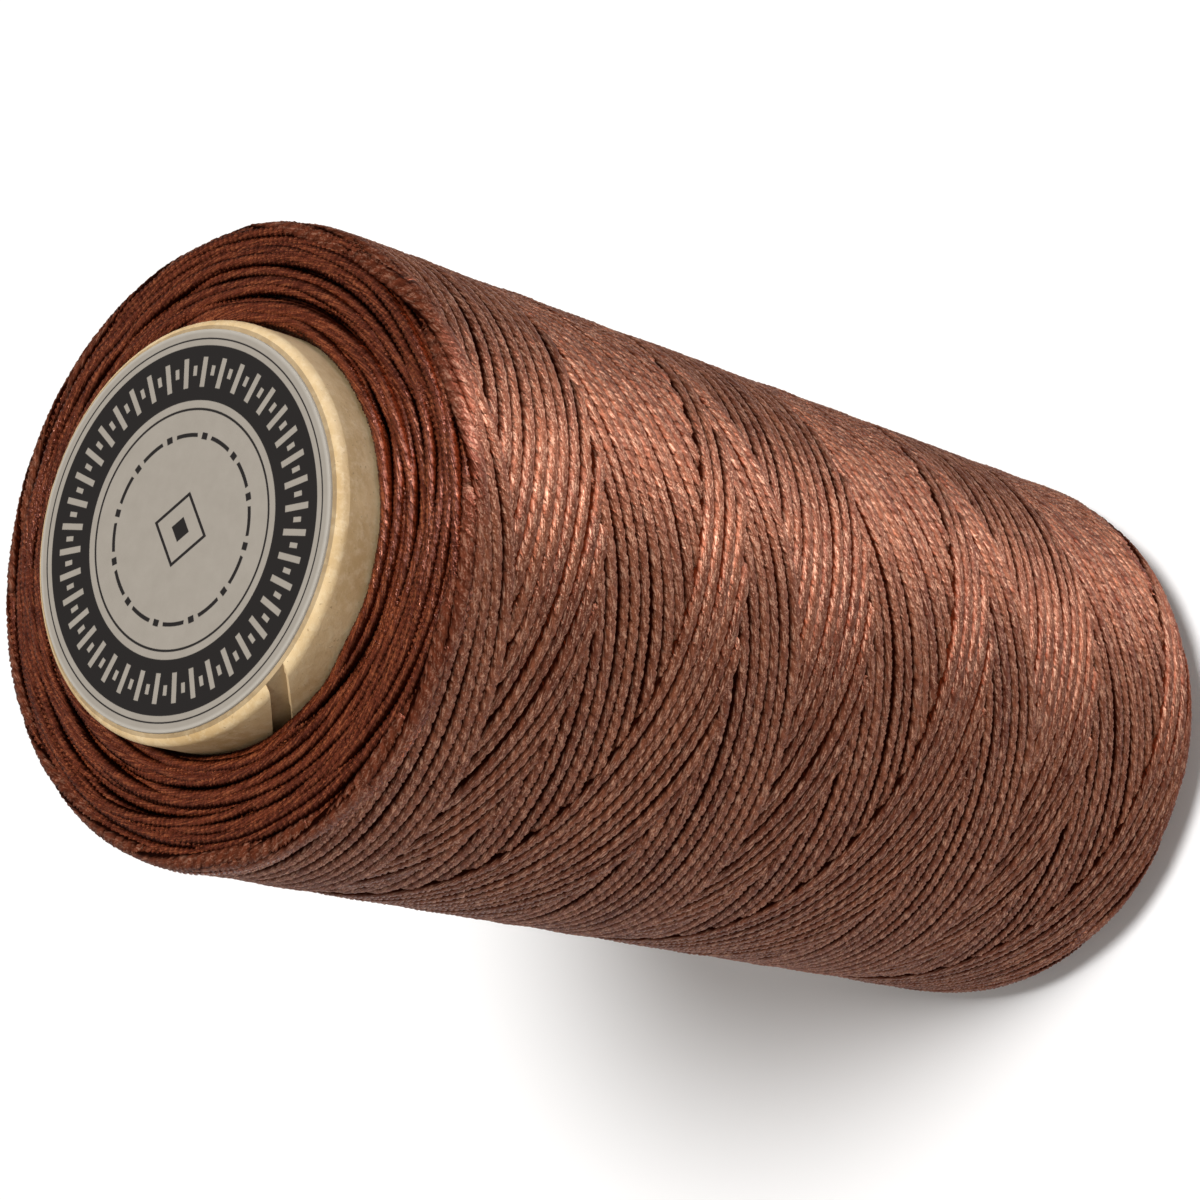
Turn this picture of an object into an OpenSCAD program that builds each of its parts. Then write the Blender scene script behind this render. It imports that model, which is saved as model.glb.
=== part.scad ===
// Waxed thread spool: one thread cross-wound on a spiral-wound paper tube, with a label on the nose.
// It stands on the base end of the tube, with the origin at the centre of that end and +Z up.

/* [Paper tube] */
// Bore of the tube
tube_bore = 22; // [18:0.1:23]
// Number of plies between the liner and the outer ply
body_plies = 2; // [1:1:3]
// Thickness of one ply
ply_t = 0.425; // [0.3:0.025:0.5]
// Rounding of the tube's end edges
tube_round = 0.7; // [0.2:0.1:1]
// Width of the open butt seam in the outer ply
seam_w = 1.2; // [0.4:0.1:2]
// Angle of the seam from the tube's axis
seam_angle = 45; // [30:1:60]
// Where the seam starts at the base, as an angle round the tube
seam_start = 211; // [0:1:359]
// Length of bare tube below the winding
base_reach = 3; // [1:0.5:10]
// Length of bare tube above the winding
nose_reach = 2.8; // [1:0.2:10]

/* [Label] */
// Diameter of the label on the nose
label_d = 24; // [19:0.5:24]
// Thickness of the label
label_t = 0.2; // [0.1:0.05:0.5]

/* [Winding] */
// Length of the winding, end face to end face
winding_length = 80; // [50:1:140]
// Diameter of the winding over its outermost turns
winding_d = 39.5; // [36:0.5:60]
// Rounding of the winding's shoulders
shoulder_r = 2.2; // [1.2:0.1:3]
// Length of the close turns on the body below each shoulder
close_turns_l = 4; // [2:0.5:12]

/* [Thread] */
// Diameter of the thread
thread_d = 0.96; // [0.7:0.02:1.2]
// Least gap between threads that lie side by side
thread_gap = 0.04; // [0.03:0.01:0.2]
// How far close turns press into each other
thread_bed = 0.06; // [0.02:0.01:0.15]
// Rise of a crossing strand in one turn
strand_lead = 27; // [15:0.5:32]
// Share of the lead that the band on top covers
over_share = 0.5; // [0.2:0.05:0.8]

/* [Hidden] */
$fn = 96;
under_bands = 4;
over_bands = 2;

// Tube
bore_r = tube_bore / 2;
liner_r = bore_r + ply_t;
body_r = liner_r + body_plies * ply_t;
tube_r = body_r + ply_t;
tube_length = base_reach + winding_length + nose_reach;
seam_step = 10;
seam_rise = PI * tube_r * seam_step / 180 / tan(seam_angle);

// A strand is a chain of flat arcs, each tilted so that it runs on into the next without a kink
arcs_per_turn = 4;
joint_step = 0.02;
joint_lap = 0.6;
least_arc = 4;
arc_turn = 360 / arcs_per_turn;
arc_rise = strand_lead / arcs_per_turn;

// Arc that joins two points of a helix whose radius is r, as [half angle, radius, tilt, centre offset]
function arc_on(r) =
  let (
    reach = r * sin(arc_turn / 2),
    mid = r * cos(arc_turn / 2),
    slope = arc_rise / 2 / reach * mid / r,
    half = atan2(reach / r, norm([mid / r, slope])),
    radius = norm([reach, arc_rise / 2]) / sin(half)
  )
  [half, radius, atan2(arc_rise / 2, reach), mid - radius * cos(half)];

// How far the middle of such an arc stands out of that helix
function bulge(r) = arc_on(r)[3] + arc_on(r)[1] - r;

// Winding
thread_r = thread_d / 2;
layer_gap = 0.01;
path_r = winding_d / 2 - thread_r;
over_r = path_r - bulge(path_r);
under_r = over_r - thread_d - bulge(over_r) - layer_gap;
inner_r = under_r - thread_r;
strand_count = floor(strand_lead * cos(arc_on(under_r)[2]) / (thread_d + thread_gap));
strand_pitch = strand_lead / strand_count;
over_count = round(over_share * strand_count);
winding_base = base_reach;
winding_top = base_reach + winding_length;
winding_mid = (winding_base + winding_top) / 2;
close_l = shoulder_r + close_turns_l + thread_r;
strands_low = winding_base + close_l + thread_gap;
strands_high = winding_top - close_l - thread_gap;

// Close turns follow this path from the tube over the shoulder and along the body
path_round = shoulder_r - thread_r;
face_l = path_r - path_round - tube_r - thread_r;
arc_l = PI / 2 * path_round;
path_l = face_l + arc_l + close_turns_l;
turn_count = ceil(path_l / (thread_d - thread_bed));
turn_pitch = path_l / turn_count;

// A point on that path: radius, then depth below the end face
function turn_at(s) =
  s < face_l ? [tube_r + thread_r + s, thread_r] :
  s < face_l + arc_l ?
    let (a = 90 - (s - face_l) / path_round * 180 / PI)
    [path_r - path_round + path_round * cos(a), shoulder_r - path_round * sin(a)] :
  [path_r, shoulder_r + s - face_l - arc_l];

// One ply of the tube, cut from the tube's rounded outline
module ply(inner, outer) {
  rotate_extrude()
    intersection() {
      translate([inner, 0]) square([outer - inner, tube_length]);
      union() {
        translate([0, tube_round]) square([tube_r, tube_length - 2 * tube_round]);
        square([tube_r - tube_round, tube_length]);
        for (z = [tube_round, tube_length - tube_round])
          translate([tube_r - tube_round, z]) circle(r = tube_round);
      }
    }
}

// The butt seam: short straight cuts that follow the helix of the ply's edge
module seam() {
  steps = ceil(tube_length / seam_rise) + 1;
  cut_l = norm([seam_rise, seam_rise * tan(seam_angle)]) + seam_w / 2;
  for (i = [0 : steps])
    rotate([0, 0, seam_start + i * seam_step]) translate([tube_r, 0, i * seam_rise])
      rotate([-seam_angle, 0, 0]) cube([3 * ply_t, seam_w, cut_l], center = true);
}

// The angle along a tilted arc at which it is so far above its middle
function angle_at(height, shape) = asin(max(-1, min(1, height / shape[1] / sin(shape[2]))));

// One arc of a strand, as much of it as lies between two heights above its middle. Each second arc
// is a little thinner and laps into its neighbours, so that a strand is one solid.
module arc(shape, low, high, thin) {
  from = max(-shape[0] - thin * joint_lap, angle_at(low, shape));
  to = min(shape[0] + thin * joint_lap, angle_at(high, shape));
  if (to - from > least_arc)
    translate([shape[3], 0, 0]) rotate([shape[2], 0, 0]) rotate([0, 0, from])
      rotate_extrude(angle = to - from)
        translate([shape[1], 0]) circle(d = thread_d - thin * joint_step);
}

// Strand number s on a helix of radius r, as long as the winding between the close turns
module strand(s, r) {
  shape = arc_on(r);
  start = strands_low + (s * strand_pitch) % arc_rise - arc_rise / 2;
  side = floor(s * strand_pitch / arc_rise);
  for (i = [0 : ceil((strands_high - start) / arc_rise)]) {
    middle = start + i * arc_rise;
    translate([0, 0, middle]) rotate([0, 0, (i - side) * arc_turn])
      arc(shape, strands_low - middle, strands_high - middle, i % 2);
  }
}

// Band number band of several that share a number of strands side by side
module band_of_strands(band, bands, count, r) {
  first = round((band - 1) * count / bands);
  last = round(band * count / bands) - 1;
  for (s = [first : last]) strand(s, r);
}

module tube_liner() color("tan") ply(bore_r, liner_r);

module tube_body_plies() color("burlywood") ply(liner_r, body_r);

module tube_outer_ply() color("wheat")
  difference() {
    ply(body_r, tube_r);
    seam();
  }

module nose_label() color("gainsboro")
  translate([0, 0, tube_length]) cylinder(d = label_d, h = label_t);

// The turns that lie under the visible ones. At both ends they come up to back the close turns.
module thread_inner_layers() color("#3c1a10") {
  rim_r = path_r - thread_r;
  rim_round = shoulder_r - thread_d;
  rotate_extrude() difference() {
    union() {
      translate([0, winding_base + thread_d]) square([inner_r, winding_length - 2 * thread_d]);
      for (side = [0, 1])
        translate([0, winding_mid]) mirror([0, side]) translate([0, winding_length / 2 - shoulder_r]) {
          translate([rim_r - rim_round, 0]) circle(r = rim_round);
          square([rim_r - rim_round, rim_round]);
          translate([0, -close_turns_l - thread_r]) square([rim_r, close_turns_l + thread_r]);
        }
    }
    translate([0, winding_base]) square([tube_r, winding_length]);
  }
}

// Full layer of one hand, in bands of strands side by side
module thread_under_band(band) color("#5a2d1f")
  mirror([0, 1, 0]) band_of_strands(band, under_bands, strand_count, under_r);

// Bands of the other hand, side by side, which cross over the full layer
module thread_over_band(band) color("#6b3526") band_of_strands(band, over_bands, over_count, over_r);

// Close turns from the tube over the shoulder, measured down from an end face at height zero
module end_turns() color("#4c2013")
  rotate_extrude()
    for (i = [0 : turn_count]) {
      at = turn_at(i * turn_pitch);
      translate([at[0], -at[1]]) circle(d = thread_d);
    }

module thread_nose_turns() translate([0, 0, winding_top]) end_turns();

module thread_base_turns() translate([0, 0, winding_base]) mirror([0, 0, 1]) end_turns();

tube_liner();
tube_body_plies();
tube_outer_ply();
nose_label();
thread_inner_layers();
for (band = [1 : under_bands])
  thread_under_band(band);
for (band = [1 : over_bands])
  thread_over_band(band);
thread_nose_turns();
thread_base_turns();
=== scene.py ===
import math
import bmesh
import bpy
import numpy as np
from mathutils import Matrix, Vector


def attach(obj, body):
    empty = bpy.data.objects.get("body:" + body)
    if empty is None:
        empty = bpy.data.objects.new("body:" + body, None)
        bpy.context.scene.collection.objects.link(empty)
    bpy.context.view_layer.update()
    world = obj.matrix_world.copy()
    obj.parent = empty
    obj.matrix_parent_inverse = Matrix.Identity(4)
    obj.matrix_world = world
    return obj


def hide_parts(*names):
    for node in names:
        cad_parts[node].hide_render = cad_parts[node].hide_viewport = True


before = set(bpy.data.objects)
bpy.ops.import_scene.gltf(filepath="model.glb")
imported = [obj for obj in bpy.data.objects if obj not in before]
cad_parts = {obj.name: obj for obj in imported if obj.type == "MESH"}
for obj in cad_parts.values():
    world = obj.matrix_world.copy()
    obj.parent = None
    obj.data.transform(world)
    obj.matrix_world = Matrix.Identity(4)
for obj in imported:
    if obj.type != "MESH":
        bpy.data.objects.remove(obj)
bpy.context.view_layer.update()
mm = 0.001
turn = 2 * math.pi


print("camera")
cameraView = {
    "place": (0, -156.28, 228.13),            # mm
    "right": (0.25226, -0.73205, -0.63283),   # it is rolled, so that the nose points left
    "forward": (0.01044, 0.65600, -0.75469),
    "lens": 108,
    "sensor": 36,
    "sees": (0.005, 50),                      # from how near to how far, m
}


def placeCamera(view):
    right, forward = Vector(view["right"]), Vector(view["forward"])
    right.normalize()
    back = -(forward - right * forward.dot(right)).normalized()
    up = back.cross(right)
    data = bpy.data.cameras.new("camera")
    data.lens, data.sensor_width, data.sensor_fit = view["lens"], view["sensor"], "HORIZONTAL"
    data.clip_start, data.clip_end = view["sees"]
    camera = bpy.data.objects.new("camera", data)
    turned = Matrix((right, up, back)).transposed().to_4x4()
    camera.matrix_world = Matrix.Translation(Vector(view["place"]) * mm) @ turned
    bpy.context.scene.collection.objects.link(camera)
    bpy.context.scene.camera = camera


placeCamera(cameraView)
bpy.context.scene.view_settings.view_transform = "Standard"


class Link:
    # one output socket of a material's tree, or the maths on it
    def __init__(self, tree, socket):
        self.tree, self.socket = tree, socket

    def maths(self, operation, *values, clamp=False):
        return addNode(self.tree, "ShaderNodeMath", {"operation": operation, "use_clamp": clamp},
                       dict(enumerate(values)))

    def __add__(self, other): return self.maths("ADD", self, other)
    def __radd__(self, other): return self.maths("ADD", other, self)
    def __sub__(self, other): return self.maths("SUBTRACT", self, other)
    def __rsub__(self, other): return self.maths("SUBTRACT", other, self)
    def __mul__(self, other): return self.maths("MULTIPLY", self, other)
    def __rmul__(self, other): return self.maths("MULTIPLY", other, self)
    def __truediv__(self, other): return self.maths("DIVIDE", self, other)
    def __abs__(self): return self.maths("ABSOLUTE", self)
    def __pow__(self, other): return self.maths("POWER", self, other)
    def clamped(self): return self.maths("ADD", self, 0, clamp=True)

    def ramp(self, low, high, fromValue=0, toValue=1):
        # a soft step from one value to another as this goes from low to high
        return addNode(self.tree, "ShaderNodeMapRange", {"interpolation_type": "SMOOTHSTEP"},
                       {0: self, 1: low, 2: high, 3: fromValue, 4: toValue})


def addNode(tree, kind, settings=None, values=None, out=0):
    # any node: its type, its settings, and the values or links of its sockets
    node = tree.nodes.new(kind)
    for key, value in (settings or {}).items():
        setattr(node, key, value)
    for key, value in (values or {}).items():
        if isinstance(value, Link):
            tree.links.new(value.socket, node.inputs[key])
        elif isinstance(value, tuple) and len(value) == 3 and node.inputs[key].type == "RGBA":
            node.inputs[key].default_value = (*value, 1)
        else:
            node.inputs[key].default_value = value
    return Link(tree, node.outputs[out])


class Finish:
    # a material and what its shader is made of
    def __init__(self, name):
        self.material = bpy.data.materials.new(name)
        self.material.use_nodes = True
        self.tree = self.material.node_tree
        self.tree.nodes.clear()

    def node(self, kind, settings=None, values=None, out=0):
        return addNode(self.tree, kind, settings, values, out)

    def place(self):
        # object coordinates, in millimetres
        spot = self.node("ShaderNodeTexCoord", out="Object")
        return self.node("ShaderNodeVectorMath", {"operation": "SCALE"}, {0: spot, "Scale": 1 / mm})

    def attribute(self, name):
        return self.node("ShaderNodeAttribute", {"attribute_name": name}, out="Vector")

    def split(self, vector):
        parts = self.node("ShaderNodeSeparateXYZ", {}, {0: vector})
        return [Link(self.tree, output) for output in parts.socket.node.outputs]

    def join(self, x, y, z):
        return self.node("ShaderNodeCombineXYZ", {}, {0: x, 1: y, 2: z})

    def noise(self, spot, scale, detail=3, rough=0.55):
        values = {"Vector": spot, "Scale": scale, "Detail": detail, "Roughness": rough}
        return self.node("ShaderNodeTexNoise", {}, values)

    def mix(self, factor, first, second):
        return self.node("ShaderNodeMix", {"data_type": "RGBA"}, {0: factor, 6: first, 7: second}, out=2)

    def bump(self, height, distance, strength=1):
        return self.node("ShaderNodeBump", {}, {"Height": height, "Distance": distance, "Strength": strength})

    def finish(self, values):
        shader = self.node("ShaderNodeBsdfPrincipled", {}, values)
        self.show(shader)
        return self.material

    def show(self, shader):
        end = self.tree.nodes.new("ShaderNodeOutputMaterial")
        self.tree.links.new(shader.socket, end.inputs["Surface"])


def shade(red, green, blue):
    # a colour as a paint chart gives it, 0 to 255, as the linear values that shaders take
    return tuple(((c / 255 + 0.055) / 1.055) ** 2.4 for c in (red, green, blue))


def addPiece(name, mesh, material):
    mesh.materials.append(material)
    piece = bpy.data.objects.new(name, mesh)
    bpy.context.scene.collection.objects.link(piece)
    return piece


def threadFinish(name, look):
    finish = Finish(name)
    hairCos, hairSin, along = finish.split(finish.attribute("hair"))  # threadMesh says what they hold
    plyCos, _, height = finish.split(finish.attribute("ply"))

    def streaks(around, down, detail, rough):
        # noise drawn out along the hairs
        spot = finish.join(hairCos * around, hairSin * around, along * down)
        return finish.noise(spot, 1.0, detail, rough)

    crown = (plyCos * plyCos * plyCos * 4 - plyCos * 3) * 0.5 + 0.5   # cos of three times the angle, 0 to 1
    valley = 1 - crown                                                # 1 between two plies, 0 on a ply's back
    dashes = streaks(look["dash"], look["dashAlong"], 1, 0.5)
    hairs = streaks(look["hair"], look["hairAlong"], 2, 0.6)
    tone = finish.noise(finish.join(0.5, 0.5, along * look["toneAlong"]), 1.0, 2, 0.6)
    spot = finish.place()
    z = finish.split(spot)[2]
    mottle = finish.noise(spot, look["mottle"], 3, 0.6)
    atEnds = z.ramp(*look["noseEnd"]) + z.ramp(*look["baseEnd"], 1, 0)
    side = (1 - height).ramp(*look["sinkOver"])                       # how far round to the buried side
    # painted shade: darker between two plies, between hairs and round the side that is buried
    low = (valley * look["paintedGrooveShade"] + side * look["paintedSideShade"] + hairs.ramp(0.5, 0.25) * look["shade"]).clamped()

    colour = finish.mix((tone.ramp(0.3, 0.7) * 0.6 + mottle.ramp(0.35, 0.7) * 0.4).clamped(),
                        look["dark"], look["light"])
    # painted shade: darker and redder towards both ends
    colour = finish.mix(atEnds * look["paintedEndShade"], colour, look["end"])
    # painted highlight: pale streaks along the hairs, weaker towards the ends
    colour = finish.mix(hairs.ramp(0.5, 0.64) * look["paintedHighlightShare"] * (1 - 0.5 * atEnds), colour, look["pale"])
    # the painted shade goes on in the deep colour
    colour = finish.mix(low, colour, look["deep"])
    rough = look["hairRough"] * hairs + side * look["sideRough"] + look["rough"]
    plies = 1 - valley * valley
    relief = plies * look["plyRelief"] + dashes * look["dashRelief"] + hairs * look["hairRelief"]
    return finish.finish({"Base Color": colour, "Roughness": rough, "IOR": 1.5,
                          "Normal": finish.bump(relief, look["reliefDepth"]),
                          "Metallic": (look["metallic"] + low * look["metallicLow"]).clamped(),
                          "Specular IOR Level": look["gloss"],
                          "Anisotropic": look["alongHairs"], "Anisotropic Rotation": 0.25})


threadLook = {
    "dark": shade(108, 53, 34),
    "light": shade(151, 88, 59),
    "toneAlong": 0.021,          # how fast it goes from dark to light along the thread, per mm,
    "mottle": 0.35,              # and in blotches over the whole spool
    "end": shade(112, 48, 27),   # towards both ends, darker and redder: painted shade
    "paintedEndShade": 0.6,
    "noseEnd": (80.6, 82.4),     # the heights between which an end begins, mm
    "baseEnd": (3.6, 5.4),
    # the painted highlight's colour
    "pale": shade(240, 190, 160),
    "paintedHighlightShare": 0.5,               # how much painted highlight the palest hairs get
    # the colour of the painted shade
    "deep": shade(66, 23, 9),
    "paintedGrooveShade": 0.34,              # how much shade is painted between two plies,
    "shade": 0.35,               # between hairs
    "paintedSideShade": 1.0,                 # and round the side that is buried
    "sinkOver": (0.2, 0.82),     # 0 on the side that shows, 1 at the flank, 2 underneath
    "rough": 0.34,
    "hairRough": 0.2,
    "sideRough": 0.2,
    "gloss": 0.32,
    "alongHairs": 0.9,           # hairs throw their light into a ring, so gloss spreads across the thread
    "metallic": 0.35,            # the light comes back from inside the hairs, in their own colour
    "metallicLow": 0.7,          # and more so where shade is painted
    "dash": 1.8,                 # how fine the coarser streaks are, round the thread and along it
    "dashAlong": 0.5,
    "hair": 4.5,                 # and the hairs
    "hairAlong": 1.1,
    "plyRelief": 0.4,            # shares of the relief
    "dashRelief": 0.3,
    "hairRelief": 0.55,
    "reliefDepth": 0.1 * mm,
}
# where the thread lies looser, round both ends; its darker, redder colours are painted shade
endLook = {
    **threadLook,
    "dark": shade(88, 30, 12),
    "light": shade(164, 76, 38),
    "end": shade(104, 39, 17),
    # painted highlight, more orange here
    "pale": shade(240, 144, 90),
    "paintedHighlightShare": 0.65,
    # painted shade, less between plies and more between hairs
    "paintedGrooveShade": 0.15,
    "shade": 0.45,
    "sinkOver": (0.02, 0.62),
    "rough": 0.17,
    "alongHairs": 0.6,
    "metallic": 0.3,
    "gloss": 0.9,
    "hairAlong": 0.8,
    "plyRelief": 0.5,
    "hairRelief": 0.8,
}
print("thread finish")
thread = threadFinish("waxedThread", threadLook)
looseThread = threadFinish("waxedThreadAtTheEnds", endLook)


winding = {
    "lead": 27.1,              # rise of a strand in one turn, mm
    "around": 121,             # and its length
    "turnsEachWay": 3,
    "strands": 26,             # there and back, before the pattern closes
    "risingStart": 0.0793,     # where the pattern stands round the spool, in turns
    "noseApex": 83.95,         # where the two hands would meet beyond the nose end
    "noseRounding": (0.085, 0.155, 0.618),   # half of a reversal, in turns: least, most and the share of what
    "baseRounding": (0.045, 0.105, 0.382),   # lies between by which each strand goes on from the last
    "surfaceStep": 0.17,       # how much the newest strand of a hand stands over the oldest
    "underDepth": 0.80,        # how far a strand lies under those that cross it
    "wander": 0.16,            # how far a strand strays along the spool
    "wanderRate": 1.7,         # slowest waves in a turn
    "lift": 0.05,              # how far it strays off the spool
    "liftRate": 3.1,
    "liftApart": 0.05,         # by how much strands differ in depth
    "threadWide": 1.03,
    "threadHigh": 0.84,
    "flatness": 0.78,          # 1 for an oval section, less for one pressed square
    "spread": 0.09,            # share by which strands differ in width
    "plyPitch": 2.7,           # one turn of the plies
    "plyDepth": 0.035,
    "hairPitch": -14.0,        # one turn of the hairs in them, the other way
    "toneApart": 300,          # how far apart strands lie in the noise along the thread, at most
    "sides": 12,
    "step": 0.38,              # between the sections of a strand, mm
    "least": 8,                # sections in a stretch that shows
    "buriedSides": 6,
    "buriedEvery": 3,          # one section in so many is left of a stretch that is hidden
    "buriedLeast": 12,
    "seed": 7,
}
crossing = {                   # where a strand comes up and goes under, in widths of a strand
    "early": 0.65,             # how far before the place where the two hands meet it is half up
    "rise": 1.4,               # the length over which it comes up
    "riseAtEnds": 3.0,
    "late": 0.3,               # how far past the newest strand of the other hand it is half under
    "lateByHand": 0.5,         # and how much earlier or later by its own hand
    "shownBefore": 1.5,        # it shows from so far before the meeting place
    "shownPast": 0.9,          # until so far past the place where it goes under,
    "shownAtEnds": 6.0,        # and so far round each meeting place
    "nearEnds": 0.2,           # at an end, which starts so many turns before the reversal
}
ends = {                       # how the threads' middles run: up the side, round the shoulder, over the face
    "edgeRadius": 18.80,
    "shoulder": 0.56,
    "slope": 0.35,             # how much lower a face is at its edge than beside the tube,
    "faceWidth": 5.6,          # which is so far away
    "nose": 82.60,             # height of a face's threads beside the tube
    "base": 3.45,
    "middle": 43,              # height that parts the nose end's half from the base end's
}
noseArc = ends["nose"] - ends["slope"] - ends["shoulder"]        # the heights where the shoulders begin
baseArc = ends["base"] + ends["slope"] + ends["shoulder"]
dice = np.random.default_rng(winding["seed"])


def smoothStep(x):
    x = np.clip(x, 0, 1)
    return x * x * (3 - 2 * x)


def overTheEnd(past, sunk):
    # radius, rise and way out of a point that is so far past the shoulder's start and so deep down
    rounding = ends["shoulder"]
    bent = np.clip(past / rounding, 0, math.pi / 2)
    inward = np.maximum(0, past - rounding * math.pi / 2)
    radius = ends["edgeRadius"] - inward + (rounding - sunk) * np.cos(bent)
    rise = np.minimum(past, 0) + (rounding - sunk) * np.sin(bent)
    rise = rise + inward * ends["slope"] / ends["faceWidth"]
    return radius, rise, np.cos(bent), np.sin(bent)


def strandHeight(w, nose, base):
    # how high a strand lies w turns after its reversal at the nose, with a parabola for each reversal
    lead, apex, far = winding["lead"], winding["noseApex"], np.abs(w)
    z = np.where(far < nose, apex - lead * (far * far / nose + nose) / 2, apex - lead * far)
    baseAt = winding["turnsEachWay"] - 0.5 / winding["strands"]
    past = far - baseAt
    return np.where(np.abs(past) < base, apex - lead * baseAt + lead * (past * past / base + base) / 2, z)


def strandDepth(w, phase):
    # How far below the outermost threads a strand lies, and where it shows. The newest strand has the least
    # phase. A strand comes up at each place where the two hands meet and goes under the newer strands of the
    # other hand, so the newest ones stay up longest.
    one, last = 1 / winding["strands"], winding["turnsEachWay"]
    way = np.clip(w / one, -1, 1)                               # -1 going up the spool, 1 coming down
    half = 2 * w + 0.5 * way * one                              # the hands meet twice in a turn
    climb = half - np.floor(half)                               # 0 at a meeting place, 1 at the next
    near = np.where(climb > 0.5, climb - 1, climb)
    atEnd = (np.abs(w) < crossing["nearEnds"]) | (np.abs(w) > last - crossing["nearEnds"])
    rise = np.where(atEnd, crossing["riseAtEnds"], crossing["rise"]) * one
    emerge = smoothStep(0.5 + (near + crossing["early"] * one) / rise)
    edge = 1 - phase + (crossing["late"] + crossing["lateByHand"] * way) * one
    dive = smoothStep(0.5 + (climb - edge) / one)
    still = 1 - smoothStep(0.5 + (climb + 1 - edge) / one)      # the newest strands never dive
    onTop = np.where(climb > 0.5, np.maximum(1 - dive, emerge), np.maximum(emerge, still) * (1 - dive))
    crossed = np.clip(phase + climb - dive + still, 0, 1)
    shown = (climb < edge + crossing["shownPast"] * one) | (climb > 1 - crossing["shownBefore"] * one)
    shown = shown | (atEnd & (np.abs(near) < crossing["shownAtEnds"] * one))
    return winding["surfaceStep"] * (phase + crossed) + winding["underDepth"] * (1 - onTop), shown


def wander(w, size, rate, phases):
    # a smooth stray made of three waves, w in turns
    total = np.zeros_like(w)
    for share, speed, start in zip((0.5, 0.3, 0.2), (1.0, 2.3, 4.9), phases):
        total += share * np.sin(turn * (w * rate * speed + start))
    return total * size


def strandPath(number, w):
    # points of a strand's middle in mm, the way out at each and whether it shows there
    phase = (number + 0.5) / winding["strands"]
    start = phase - winding["risingStart"] + winding["noseApex"] / winding["lead"]
    strays = dice.random(12)              # some are spare, so that one more use leaves the others as they are
    nose, base = (least + (most - least) * ((number * share) % 1)
                  for least, most, share in (winding["noseRounding"], winding["baseRounding"]))
    z = strandHeight(w, nose, base) + wander(w, winding["wander"], winding["wanderRate"], strays[:3])
    sunk, shown = strandDepth(w, phase)
    lift = wander(w, winding["lift"], winding["liftRate"], strays[3:6])
    sunk = sunk - lift + winding["liftApart"] * strays[6]
    upper = z > ends["middle"]
    up, shoulder = np.where(upper, 1, -1), np.where(upper, noseArc, baseArc)
    radius, rise, outward, upward = overTheEnd(up * (z - shoulder), sunk)
    angle = -turn * (start + w)
    way = np.c_[outward * np.cos(angle), outward * np.sin(angle), up * upward]
    return np.c_[radius * np.cos(angle), radius * np.sin(angle), shoulder + up * rise], way, shown


def lengthAlong(path):
    return np.r_[0, np.cumsum(np.linalg.norm(np.diff(path, axis=0), axis=1))]


def threadMesh(name, runs, sides, material, flatness=1.0):
    # Sweeps a twisted three-ply section along each run of points and closes its tips. Its attribute hair has
    # the cos and sin round the hairs' slow twist and the mm along. Its attribute ply has the cos and sin
    # round the plies and how high on the thread a point is, from -1 to 1.
    points, quads, caps, hair, ply = [], [], [], [], []
    count = 0
    corner = np.arange(sides)
    following = (corner + 1) % sides
    own = turn * corner / sides                                  # the angle that turns with the plies
    reach = 1 + winding["plyDepth"] * np.cos(3 * own)
    for path, outward, along, tone, width in runs:
        rings = len(path)
        tangent = np.gradient(path, axis=0)
        tangent /= np.linalg.norm(tangent, axis=1)[:, None]
        across = np.cross(tangent, outward)
        across /= np.linalg.norm(across, axis=1)[:, None]
        out = np.cross(across, tangent)
        angle = own[None, :] + (turn * (along / winding["plyPitch"] + tone))[:, None]
        x, y = (np.sign(side) * np.abs(side) ** flatness for side in (np.cos(angle), np.sin(angle)))
        x = winding["threadWide"] / 2 * width * reach * x
        y = winding["threadHigh"] / 2 * reach * y
        ring = path[:, None, :] + x[..., None] * across[:, None, :] + y[..., None] * out[:, None, :]
        points += [ring.reshape(-1, 3), path[:1], path[-1:]]     # the middles of both tips come last
        a = np.arange(rings - 1)[:, None] * sides + corner + count
        b = np.arange(rings - 1)[:, None] * sides + following + count
        quads.append(np.stack([a, b, b + sides, a + sides], -1).reshape(-1, 4))
        middle, last = count + rings * sides, count + (rings - 1) * sides
        caps.append(np.stack([corner * 0 + middle, count + following, count + corner], -1))
        caps.append(np.stack([corner * 0 + middle + 1, last + corner, last + following], -1))
        far = np.broadcast_to((along + tone * winding["toneApart"])[:, None], angle.shape)
        lie = angle + turn * far / winding["hairPitch"]
        hair += [np.stack([np.cos(lie), np.sin(lie), far], -1).reshape(-1, 3),
                 [(0, 0, far[0, 0]), (0, 0, far[-1, 0])]]
        turns = np.broadcast_to(own, angle.shape)
        ply += [np.stack([np.cos(turns), np.sin(turns), np.sin(angle)], -1).reshape(-1, 3), np.zeros((2, 3))]
        count += rings * sides + 2
    points, quads, caps = np.concatenate(points) * mm, np.concatenate(quads), np.concatenate(caps)
    mesh = bpy.data.meshes.new(name)
    mesh.vertices.add(len(points))
    mesh.vertices.foreach_set("co", points.astype(np.float32).ravel())
    mesh.loops.add(quads.size + caps.size)
    mesh.loops.foreach_set("vertex_index", np.r_[quads.ravel(), caps.ravel()].astype(np.int32))
    mesh.polygons.add(len(quads) + len(caps))
    starts = np.r_[np.arange(len(quads)) * 4, quads.size + np.arange(len(caps)) * 3]
    mesh.polygons.foreach_set("loop_start", starts.astype(np.int32))
    mesh.update(calc_edges=True)
    mesh.validate()
    mesh.shade_smooth()
    for title, values in (("hair", hair), ("ply", ply)):
        layer = mesh.attributes.new(title, "FLOAT_VECTOR", "POINT")
        layer.data.foreach_set("vector", np.concatenate(values).astype(np.float32).ravel())
    print("  ", name, len(points), "points,", 2 * len(quads) + len(caps), "triangles")
    return addPiece(name, mesh, material)


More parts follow.
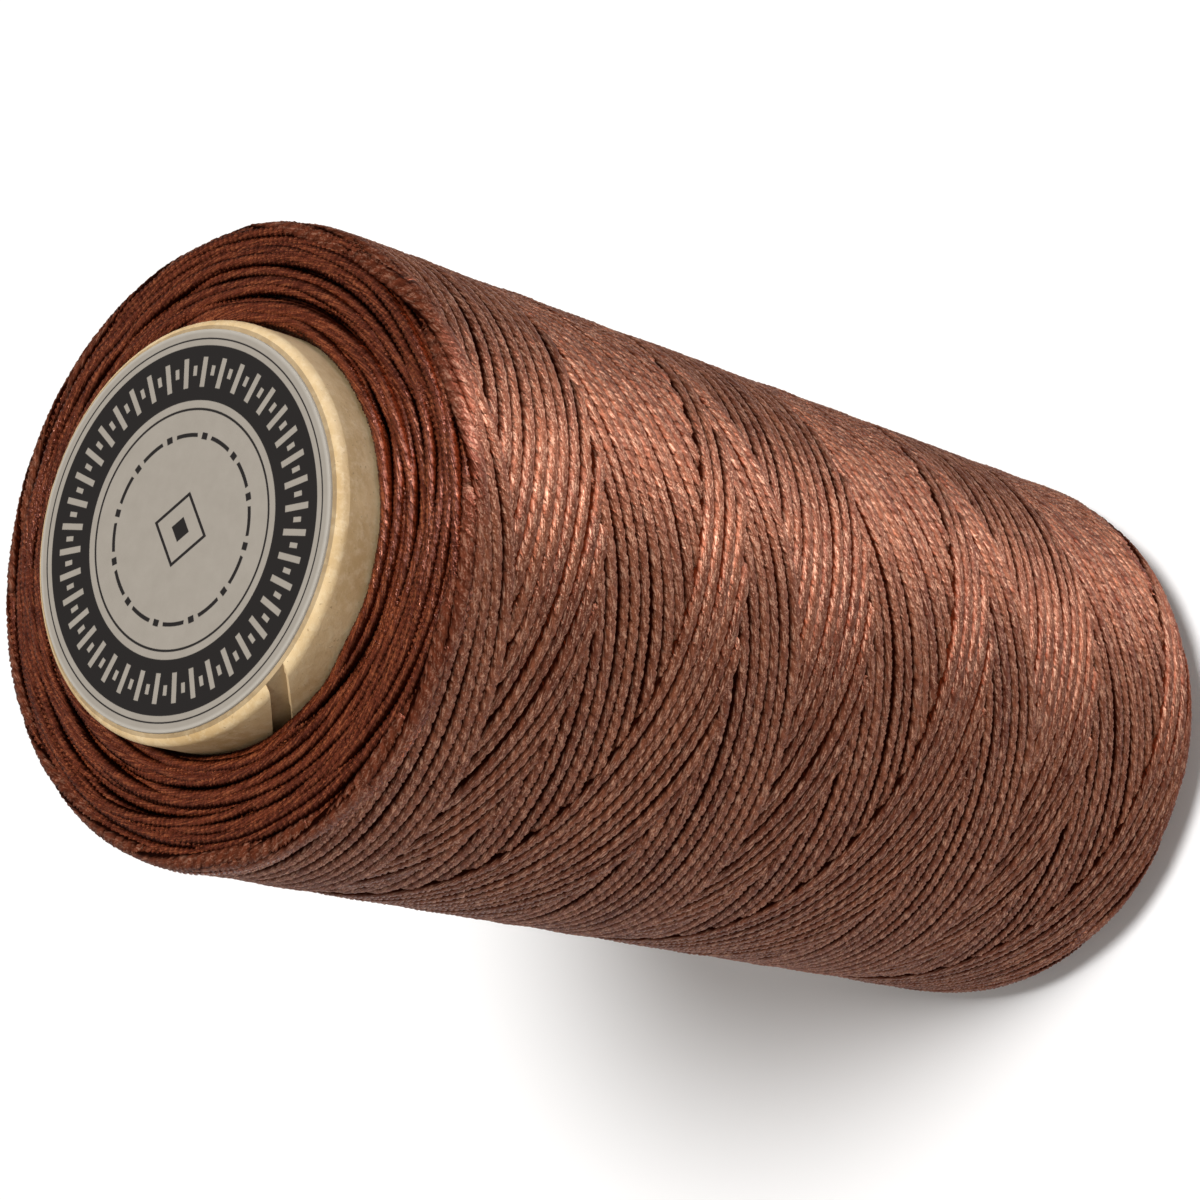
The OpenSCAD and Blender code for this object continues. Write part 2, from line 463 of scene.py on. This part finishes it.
def buildWinding():
    # the stretches of every strand that show, by hand, and those that other strands hide
    step = winding["step"] / winding["around"]                   # in turns
    end = winding["turnsEachWay"] - 0.5 / winding["strands"]
    fineRuns, coarseRuns = {"rising": [], "falling": []}, []
    for number in range(winding["strands"]):
        tone, width = float(dice.random()), 1 + winding["spread"] * float(dice.uniform(-1, 1))
        w = np.arange(-end - 2 * step, end + 2 * step, step)
        path, way, shown = strandPath(number, w)
        along = lengthAlong(path)
        cuts = np.r_[0, np.flatnonzero(np.diff(shown.astype(int))) + 1, len(w)]
        middle = np.searchsorted(w, 0)
        for lo, hi in zip(cuts[:-1], cuts[1:]):
            if shown[lo]:
                for a, b, hand in ((lo, min(hi, middle + 1), "rising"), (max(lo, middle), hi, "falling")):
                    if b - a > winding["least"]:
                        fineRuns[hand].append((path[a:b], way[a:b], along[a:b], tone, width))
            elif hi - lo > winding["buriedLeast"]:
                some = slice(lo, hi, winding["buriedEvery"])
                coarseRuns.append((path[some], way[some], along[some], tone, width))
    return fineRuns, coarseRuns


def shareOut(runs, parts):
    # the runs in so many lots, in their order, with about as many points in each
    upTo = np.cumsum([len(path) for path, *_ in runs])
    lots = (upTo - 1) * parts // upTo[-1]
    return [[run for run, lot in zip(runs, lots) if lot == part] for part in range(parts)]


print("winding")
fineRuns, coarseRuns = buildWinding()
bands = {"rising": ("thread_under_band", 4), "falling": ("thread_over_band", 2)}    # nodes and how many
for hand, (node, parts) in bands.items():
    for part, runs in enumerate(shareOut(fineRuns[hand], parts), 1):
        strands = threadMesh(f"{hand}Strands{part}", runs, winding["sides"], thread, winding["flatness"])
        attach(strands, "root")
        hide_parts(f"{node}_{part}")
buriedStrands = threadMesh("buriedStrands", coarseRuns, winding["buriedSides"], thread)
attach(buriedStrands, "root")


endRows = {
    "innerRadius": 13.15,
    "tubeRadius": 12.72,         # which no thread may enter
    "rows": 10,                  # on the flat of a face
    "shoulderRows": 3,
    "arcs": (2, 6),              # in a row, from 2 to 5
    "uneven": 0.5,               # how unevenly they start
    "overlap": 0.1,              # turns by which an arc runs past the next one's start
    "slant": 0.8,                # rows that an arc runs askew either way, at most
    "sunk": 0.18,                # how deep a row lies below the outermost threads, mm
    "sunkSpread": (-0.2, 0.28),
    "shoulderSunk": 0.32,        # the same on the shoulder, under the strands that come over it
    "strays": 30,                # arcs that lie over the rows and cross some of them
    "strayLength": (0.2, 0.45),  # in turns
    "straySlant": 2.2,
    "straySunk": (-0.1, 0.05),
    "slip": 0.55,                # how deep the tips of an arc go under
    "slipLength": 0.07,          # in turns
    "wander": 0.25,              # how far an arc strays over the face, in rows, and up and down
    "wanderRate": 2.3,
    "lift": 0.13,
    "liftRate": 3.3,
    "width": (0.74, 0.90),       # to the threads on the body
    "step": 0.35986,             # between the sections of an arc, mm, on a circle in the middle of the face
    "middleRadius": 16,
    "seed": 19,
}


def endArc(luck, first, length, rows, sunk, height, up):
    # one arc of thread on an end, from its start and length in turns and the rows it runs between
    flat = ends["edgeRadius"] - endRows["innerRadius"]
    around = np.arange(0, length, endRows["step"] / (turn * endRows["middleRadius"]))
    at = rows[0] + (rows[1] - rows[0]) * smoothStep(around / length)
    at = at + wander(around, endRows["wander"], endRows["wanderRate"], luck.random(3))
    slip = sum(smoothStep(1 - gap / endRows["slipLength"]) for gap in (around, length - around))
    over = smoothStep((at - endRows["rows"] + 2) / 2)            # 1 on the shoulder
    sunk = sunk + (endRows["shoulderSunk"] - endRows["sunk"]) * over + endRows["slip"] * slip
    sunk = sunk + wander(around, endRows["lift"], endRows["liftRate"], luck.random(3))
    past = ends["shoulder"] * math.pi / 2 + flat - at * flat / (endRows["rows"] - 1)
    radius, rise, outward, upward = overTheEnd(past, sunk)
    radius = np.maximum(radius, endRows["tubeRadius"] + winding["threadWide"] / 2)
    angle = -turn * (first + around)
    path = np.c_[radius * np.cos(angle), radius * np.sin(angle), height + up * rise]
    way = np.c_[outward * np.cos(angle), outward * np.sin(angle), up * upward]
    return path, way, lengthAlong(path), float(luck.random()), float(luck.uniform(*endRows["width"]))


def endRuns(height, up):
    # rows of arcs, each a little askew, whose tips slip under their neighbours, and strays over them
    luck = np.random.default_rng(endRows["seed"] + int(height))
    rows, slant, runs = endRows["rows"], endRows["slant"], []
    for row in range(rows + endRows["shoulderRows"]):
        arcs = int(luck.integers(*endRows["arcs"]))
        starts = (np.arange(arcs) + luck.random(arcs) * endRows["uneven"] + luck.random()) / arcs
        for k in range(arcs):
            length = starts[(k + 1) % arcs] + (k == arcs - 1) - starts[k] + endRows["overlap"]
            askew = luck.uniform(-slant, slant)
            sunk = endRows["sunk"] + luck.uniform(*endRows["sunkSpread"])
            runs.append(endArc(luck, starts[k], length, (row - askew, row + askew), sunk, height, up))
    for _ in range(endRows["strays"]):
        row = luck.uniform(0, rows - 1)
        across = luck.uniform(-endRows["straySlant"], endRows["straySlant"])
        first, length = luck.random(), luck.uniform(*endRows["strayLength"])
        fromTo = (row, np.clip(row + across, 0, rows - 0.5))
        runs.append(endArc(luck, first, length, fromTo, luck.uniform(*endRows["straySunk"]), height, up))
    return runs


print("end faces")
for name, node, height, up in (("noseTurns", "thread_nose_turns", noseArc, 1),
                               ("baseTurns", "thread_base_turns", baseArc, -1)):
    turns = threadMesh(name, endRuns(height, up), winding["sides"], looseThread)
    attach(turns, "root")
    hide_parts(node)


backing = {                      # what lies under the strands, as radii and depths below the ends' threads
    "outline": ((12.72, 0.55), (17.3, 0.80), (18.3, 1.15), (18.5, 1.8), (18.2, 5.0), (17.6, 7.0)),
    "segments": 160,
    # painted shade: the buried thread is coloured far darker than the thread that shows
    "dark": shade(40, 12, 4),
    "light": shade(66, 26, 12),
    "grain": 1.3,
    "rough": 0.6,
    "relief": 0.1 * mm,
}


def spunRing(name, outline, segments, material):
    # turns an outline of (radius, height) points in mm into a closed ring
    made = bmesh.new()
    loop = [made.verts.new((r * mm, 0, z * mm)) for r, z in outline]
    edges = [made.edges.new((loop[i], loop[(i + 1) % len(loop)])) for i in range(len(loop))]
    bmesh.ops.spin(made, geom=loop + edges, cent=(0, 0, 0), axis=(0, 0, 1), angle=turn, steps=segments,
                   use_merge=True)
    bmesh.ops.remove_doubles(made, verts=made.verts, dist=1e-6)
    bmesh.ops.recalc_face_normals(made, faces=made.faces)
    mesh = bpy.data.meshes.new(name)
    made.to_mesh(mesh)
    made.free()
    mesh.shade_smooth()
    return addPiece(name, mesh, material)


# the buried layers' finish, dark with painted shade
def innerFinish():
    finish = Finish("innerLayers")
    grain = finish.noise(finish.place(), backing["grain"], 4)
    colour = finish.mix(grain.ramp(0.3, 0.7), backing["dark"], backing["light"])
    normal = finish.bump(grain, backing["relief"])
    return finish.finish({"Base Color": colour, "Roughness": backing["rough"], "Normal": normal})


print("inner layers")
lower = [(r, ends["base"] + deep) for r, deep in backing["outline"]]
upper = [(r, ends["nose"] - deep) for r, deep in reversed(backing["outline"])]
innerLayers = spunRing("innerLayers", lower + upper, backing["segments"], innerFinish())
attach(innerLayers, "root")
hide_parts("thread_inner_layers")


def paperFinish(name, look):
    finish = Finish(name)
    spot = finish.place()
    fibres = finish.noise(spot, look["fibres"], 6, 0.7)
    cloud = finish.noise(spot, look["cloud"], 3, 0.6)
    specks = finish.noise(spot, look["specks"], 2, 0.5)
    colour = finish.mix(cloud.ramp(0.3, 0.7), look["dark"], look["light"])
    colour = finish.mix(fibres.ramp(0.42, 0.72) * 0.5, colour, look["pale"])
    colour = finish.mix(specks.ramp(0.66, 0.76) * 0.5, colour, look["speck"])
    normal = finish.bump(fibres * 0.7 + specks * 0.3, look["relief"], 0.6)
    return finish.finish({"Base Color": colour, "Roughness": look["rough"] + 0.1 * fibres, "Normal": normal})


kraftLook = {
    "dark": shade(196, 163, 113),
    "light": shade(226, 198, 152),
    "pale": shade(236, 216, 178),
    "speck": shade(132, 98, 58),
    "cloud": 0.22,               # how fine each is, per mm
    "fibres": 1.6,
    "specks": 4.5,
    "rough": 0.62,
    "relief": 0.08 * mm,
}
boardLook = {
    **kraftLook,
    "dark": shade(150, 126, 92),
    "light": shade(178, 154, 118),
    "pale": shade(196, 176, 142),
    "speck": shade(104, 82, 54),
}
print("paper tube")
kraft = paperFinish("kraftPaper", kraftLook)
board = paperFinish("greyBoard", boardLook)
for node, finish in (("tube_outer_ply", kraft), ("tube_body_plies", board), ("tube_liner", board)):
    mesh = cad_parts[node].data
    mesh.materials.clear()
    mesh.materials.append(finish)


label = {
    "radius": 12.0,
    "bottom": 85.8,
    "top": 86.0,
    "edge": 0.08,                             # rounding of its upper edge
    "segments": 128,
    "soft": 0.03,                             # how far a circle of the print fades
    "band": (7.7, 11.0),                      # the dark ring, from and to which radius
    "lines": ((7.1, 7.25), (11.35, 11.45)),
    "ticks": 40,                              # pale ones in the band, long and short in turn
    "longTicks": (8.5, 10.3, 0.16, 0.22),     # from and to which radius, then how far from its middle a tick
    "shortTicks": (9.2, 9.8, 0.12, 0.18),     # begins and ends to fade
    "dashes": 12,                             # in a broken circle, with a knot in each gap
    "dash": (5.5, 5.75, 0.85, 0.9),
    "knot": (5.42, 5.83, 0.2, 0.26),
    "diamond": (2.0, 2.28),                   # its line, and the spot in it, from the middle to a corner
    "spot": (0.72, 0.8),
    "rim": (11.7, 11.9),                      # where the film is paler
    "film": (shade(144, 137, 127), shade(156, 149, 139)),
    "filmRim": shade(186, 181, 171),
    "ink": shade(28, 25, 24),
    "clouds": 0.9,                            # how fine the film's clouds, grain and scuffs are, per mm
    "grain": 6,
    "scuffs": 0.6,
    "rough": 0.74,
    "gloss": 0.35,
    "relief": 0.05 * mm,
}


def labelFinish():
    finish = Finish("labelFilm")
    spot = finish.place()
    x, y, _ = finish.split(spot)
    radius = (x * x + y * y) ** 0.5
    angle = x.maths("ARCTAN2", y, x) / turn                      # -0.5 to 0.5
    soft = label["soft"]

    def between(value, low, high):
        return value.ramp(low - soft, low + soft) * (1 - value.ramp(high - soft, high + soft))

    def spokes(count, low, high, inner, outer, shift=0.0):
        # so many short bars between two radii, each pointing outwards
        place = angle * count + shift + 100.5
        off = abs(place.maths("FRACT", place) - 0.5) * radius * (turn / count)    # mm to the nearest middle
        return (1 - off.ramp(inner, outer)) * between(radius, low, high)

    band = between(radius, *label["band"])
    ticks = spokes(label["ticks"], *label["longTicks"]) + spokes(label["ticks"], *label["shortTicks"], 0.5)
    ink = band - ticks.clamped() * band
    for line in label["lines"]:
        ink = ink + between(radius, *line)
    ink = ink + spokes(label["dashes"], *label["dash"], 0.5) + spokes(label["dashes"], *label["knot"])
    across = abs(x) + abs(y)
    ink = (ink + between(across, *label["diamond"]) + (1 - across.ramp(*label["spot"]))).clamped()

    film = finish.mix(finish.noise(spot, label["clouds"]), *label["film"])
    film = finish.mix(radius.ramp(*label["rim"]) * 0.5, film, label["filmRim"])
    colour = finish.mix(ink, film, label["ink"])
    grain = finish.noise(spot, label["grain"])
    scuffs = finish.noise(spot, label["scuffs"], 4)
    return finish.finish({"Base Color": colour, "Roughness": label["rough"] + 0.1 * scuffs + 0.05 * ink,
                          "Normal": finish.bump(grain * 0.2 + scuffs, label["relief"], 0.35),
                          "Specular IOR Level": label["gloss"]})


def buildLabel():
    made = bmesh.new()
    bmesh.ops.create_circle(made, cap_ends=True, radius=label["radius"] * mm, segments=label["segments"])
    bmesh.ops.translate(made, verts=made.verts, vec=(0, 0, label["bottom"] * mm))
    lifted = bmesh.ops.extrude_face_region(made, geom=list(made.faces))
    tops = [v for v in lifted["geom"] if isinstance(v, bmesh.types.BMVert)]
    bmesh.ops.translate(made, verts=tops, vec=(0, 0, (label["top"] - label["bottom"]) * mm))
    rim = [e for e in made.edges if all(v.co.z > (label["top"] - 0.001) * mm for v in e.verts)]
    bmesh.ops.bevel(made, geom=rim, offset=label["edge"] * mm, segments=2, profile=0.5, affect="EDGES",
                    material=-1)
    bmesh.ops.recalc_face_normals(made, faces=made.faces)
    mesh = bpy.data.meshes.new("noseLabel")
    made.to_mesh(mesh)
    made.free()
    return addPiece("noseLabel", mesh, labelFinish())


print("label")
noseLabel = buildLabel()
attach(noseLabel, "root")
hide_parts("nose_label")


studio = {
    "floorSize": 6.0,
    "floor": (0.95, 0.95, 0.95),
    "floorGlow": 0.07,         # which only the camera sees
    "keyLamp": {"from": (0.150, -0.220, 0.964), "far": 0.9, "size": 0.24, "level": 0.75, "gloss": False},
    "glossLamp": {"from": (0.75, -0.54, 0.38), "far": 0.9, "size": 0.30, "level": 1.32, "gloss": True},
    "aim": (0, 0, 0.043),      # the middle of the spool
    "sky": 0.3,
    "skyColour": (1.0, 0.94, 0.89),
}


def buildFloor():
    made = bmesh.new()
    bmesh.ops.create_grid(made, x_segments=2, y_segments=2, size=studio["floorSize"] / 2)
    mesh = bpy.data.meshes.new("floor")
    made.to_mesh(mesh)
    made.free()
    finish = Finish("floorPaper")
    ray = finish.node("ShaderNodeLightPath", out="Is Camera Ray")
    paper = finish.node("ShaderNodeBsdfDiffuse", {}, {"Color": studio["floor"]})
    glow = finish.node("ShaderNodeEmission", {}, {"Color": (1, 1, 1), "Strength": studio["floorGlow"]})
    seen = finish.node("ShaderNodeAddShader", {}, {0: paper, 1: glow})
    finish.show(finish.node("ShaderNodeMixShader", {}, {0: ray, 1: paper, 2: seen}))
    addPiece("floor", mesh, finish.material)


def addLamp(name, look):
    # A white card that faces a lamp renders at its level. It gives either gloss or the rest of the light.
    data = bpy.data.lights.new(name, "AREA")
    data.shape, data.size = "DISK", look["size"]
    data.energy = look["level"] * 4 * math.pi * look["far"] ** 2
    lamp = bpy.data.objects.new(name, data)
    way = Vector(look["from"]).normalized()
    lamp.location = way * look["far"] + Vector(studio["aim"])
    lamp.rotation_euler = way.to_track_quat("Z", "Y").to_euler()
    lamp.visible_glossy, lamp.visible_diffuse = look["gloss"], not look["gloss"]
    bpy.context.scene.collection.objects.link(lamp)


def lightWorld():
    # a warm dim sky gives light, and the camera sees white beyond the floor
    world = bpy.data.worlds.new("studio")
    world.use_nodes = True
    tree = world.node_tree
    tree.nodes.clear()
    sky = addNode(tree, "ShaderNodeBackground", {}, {"Color": studio["skyColour"], "Strength": studio["sky"]})
    white = addNode(tree, "ShaderNodeBackground", {}, {"Color": (1, 1, 1), "Strength": 1.0})
    ray = addNode(tree, "ShaderNodeLightPath", out="Is Camera Ray")
    both = addNode(tree, "ShaderNodeMixShader", {}, {0: ray, 1: sky, 2: white})
    end = tree.nodes.new("ShaderNodeOutputWorld")
    tree.links.new(both.socket, end.inputs["Surface"])
    bpy.context.scene.world = world


print("floor and light")
buildFloor()
for lamp in ("keyLamp", "glossLamp"):
    addLamp(lamp, studio[lamp])
lightWorld()
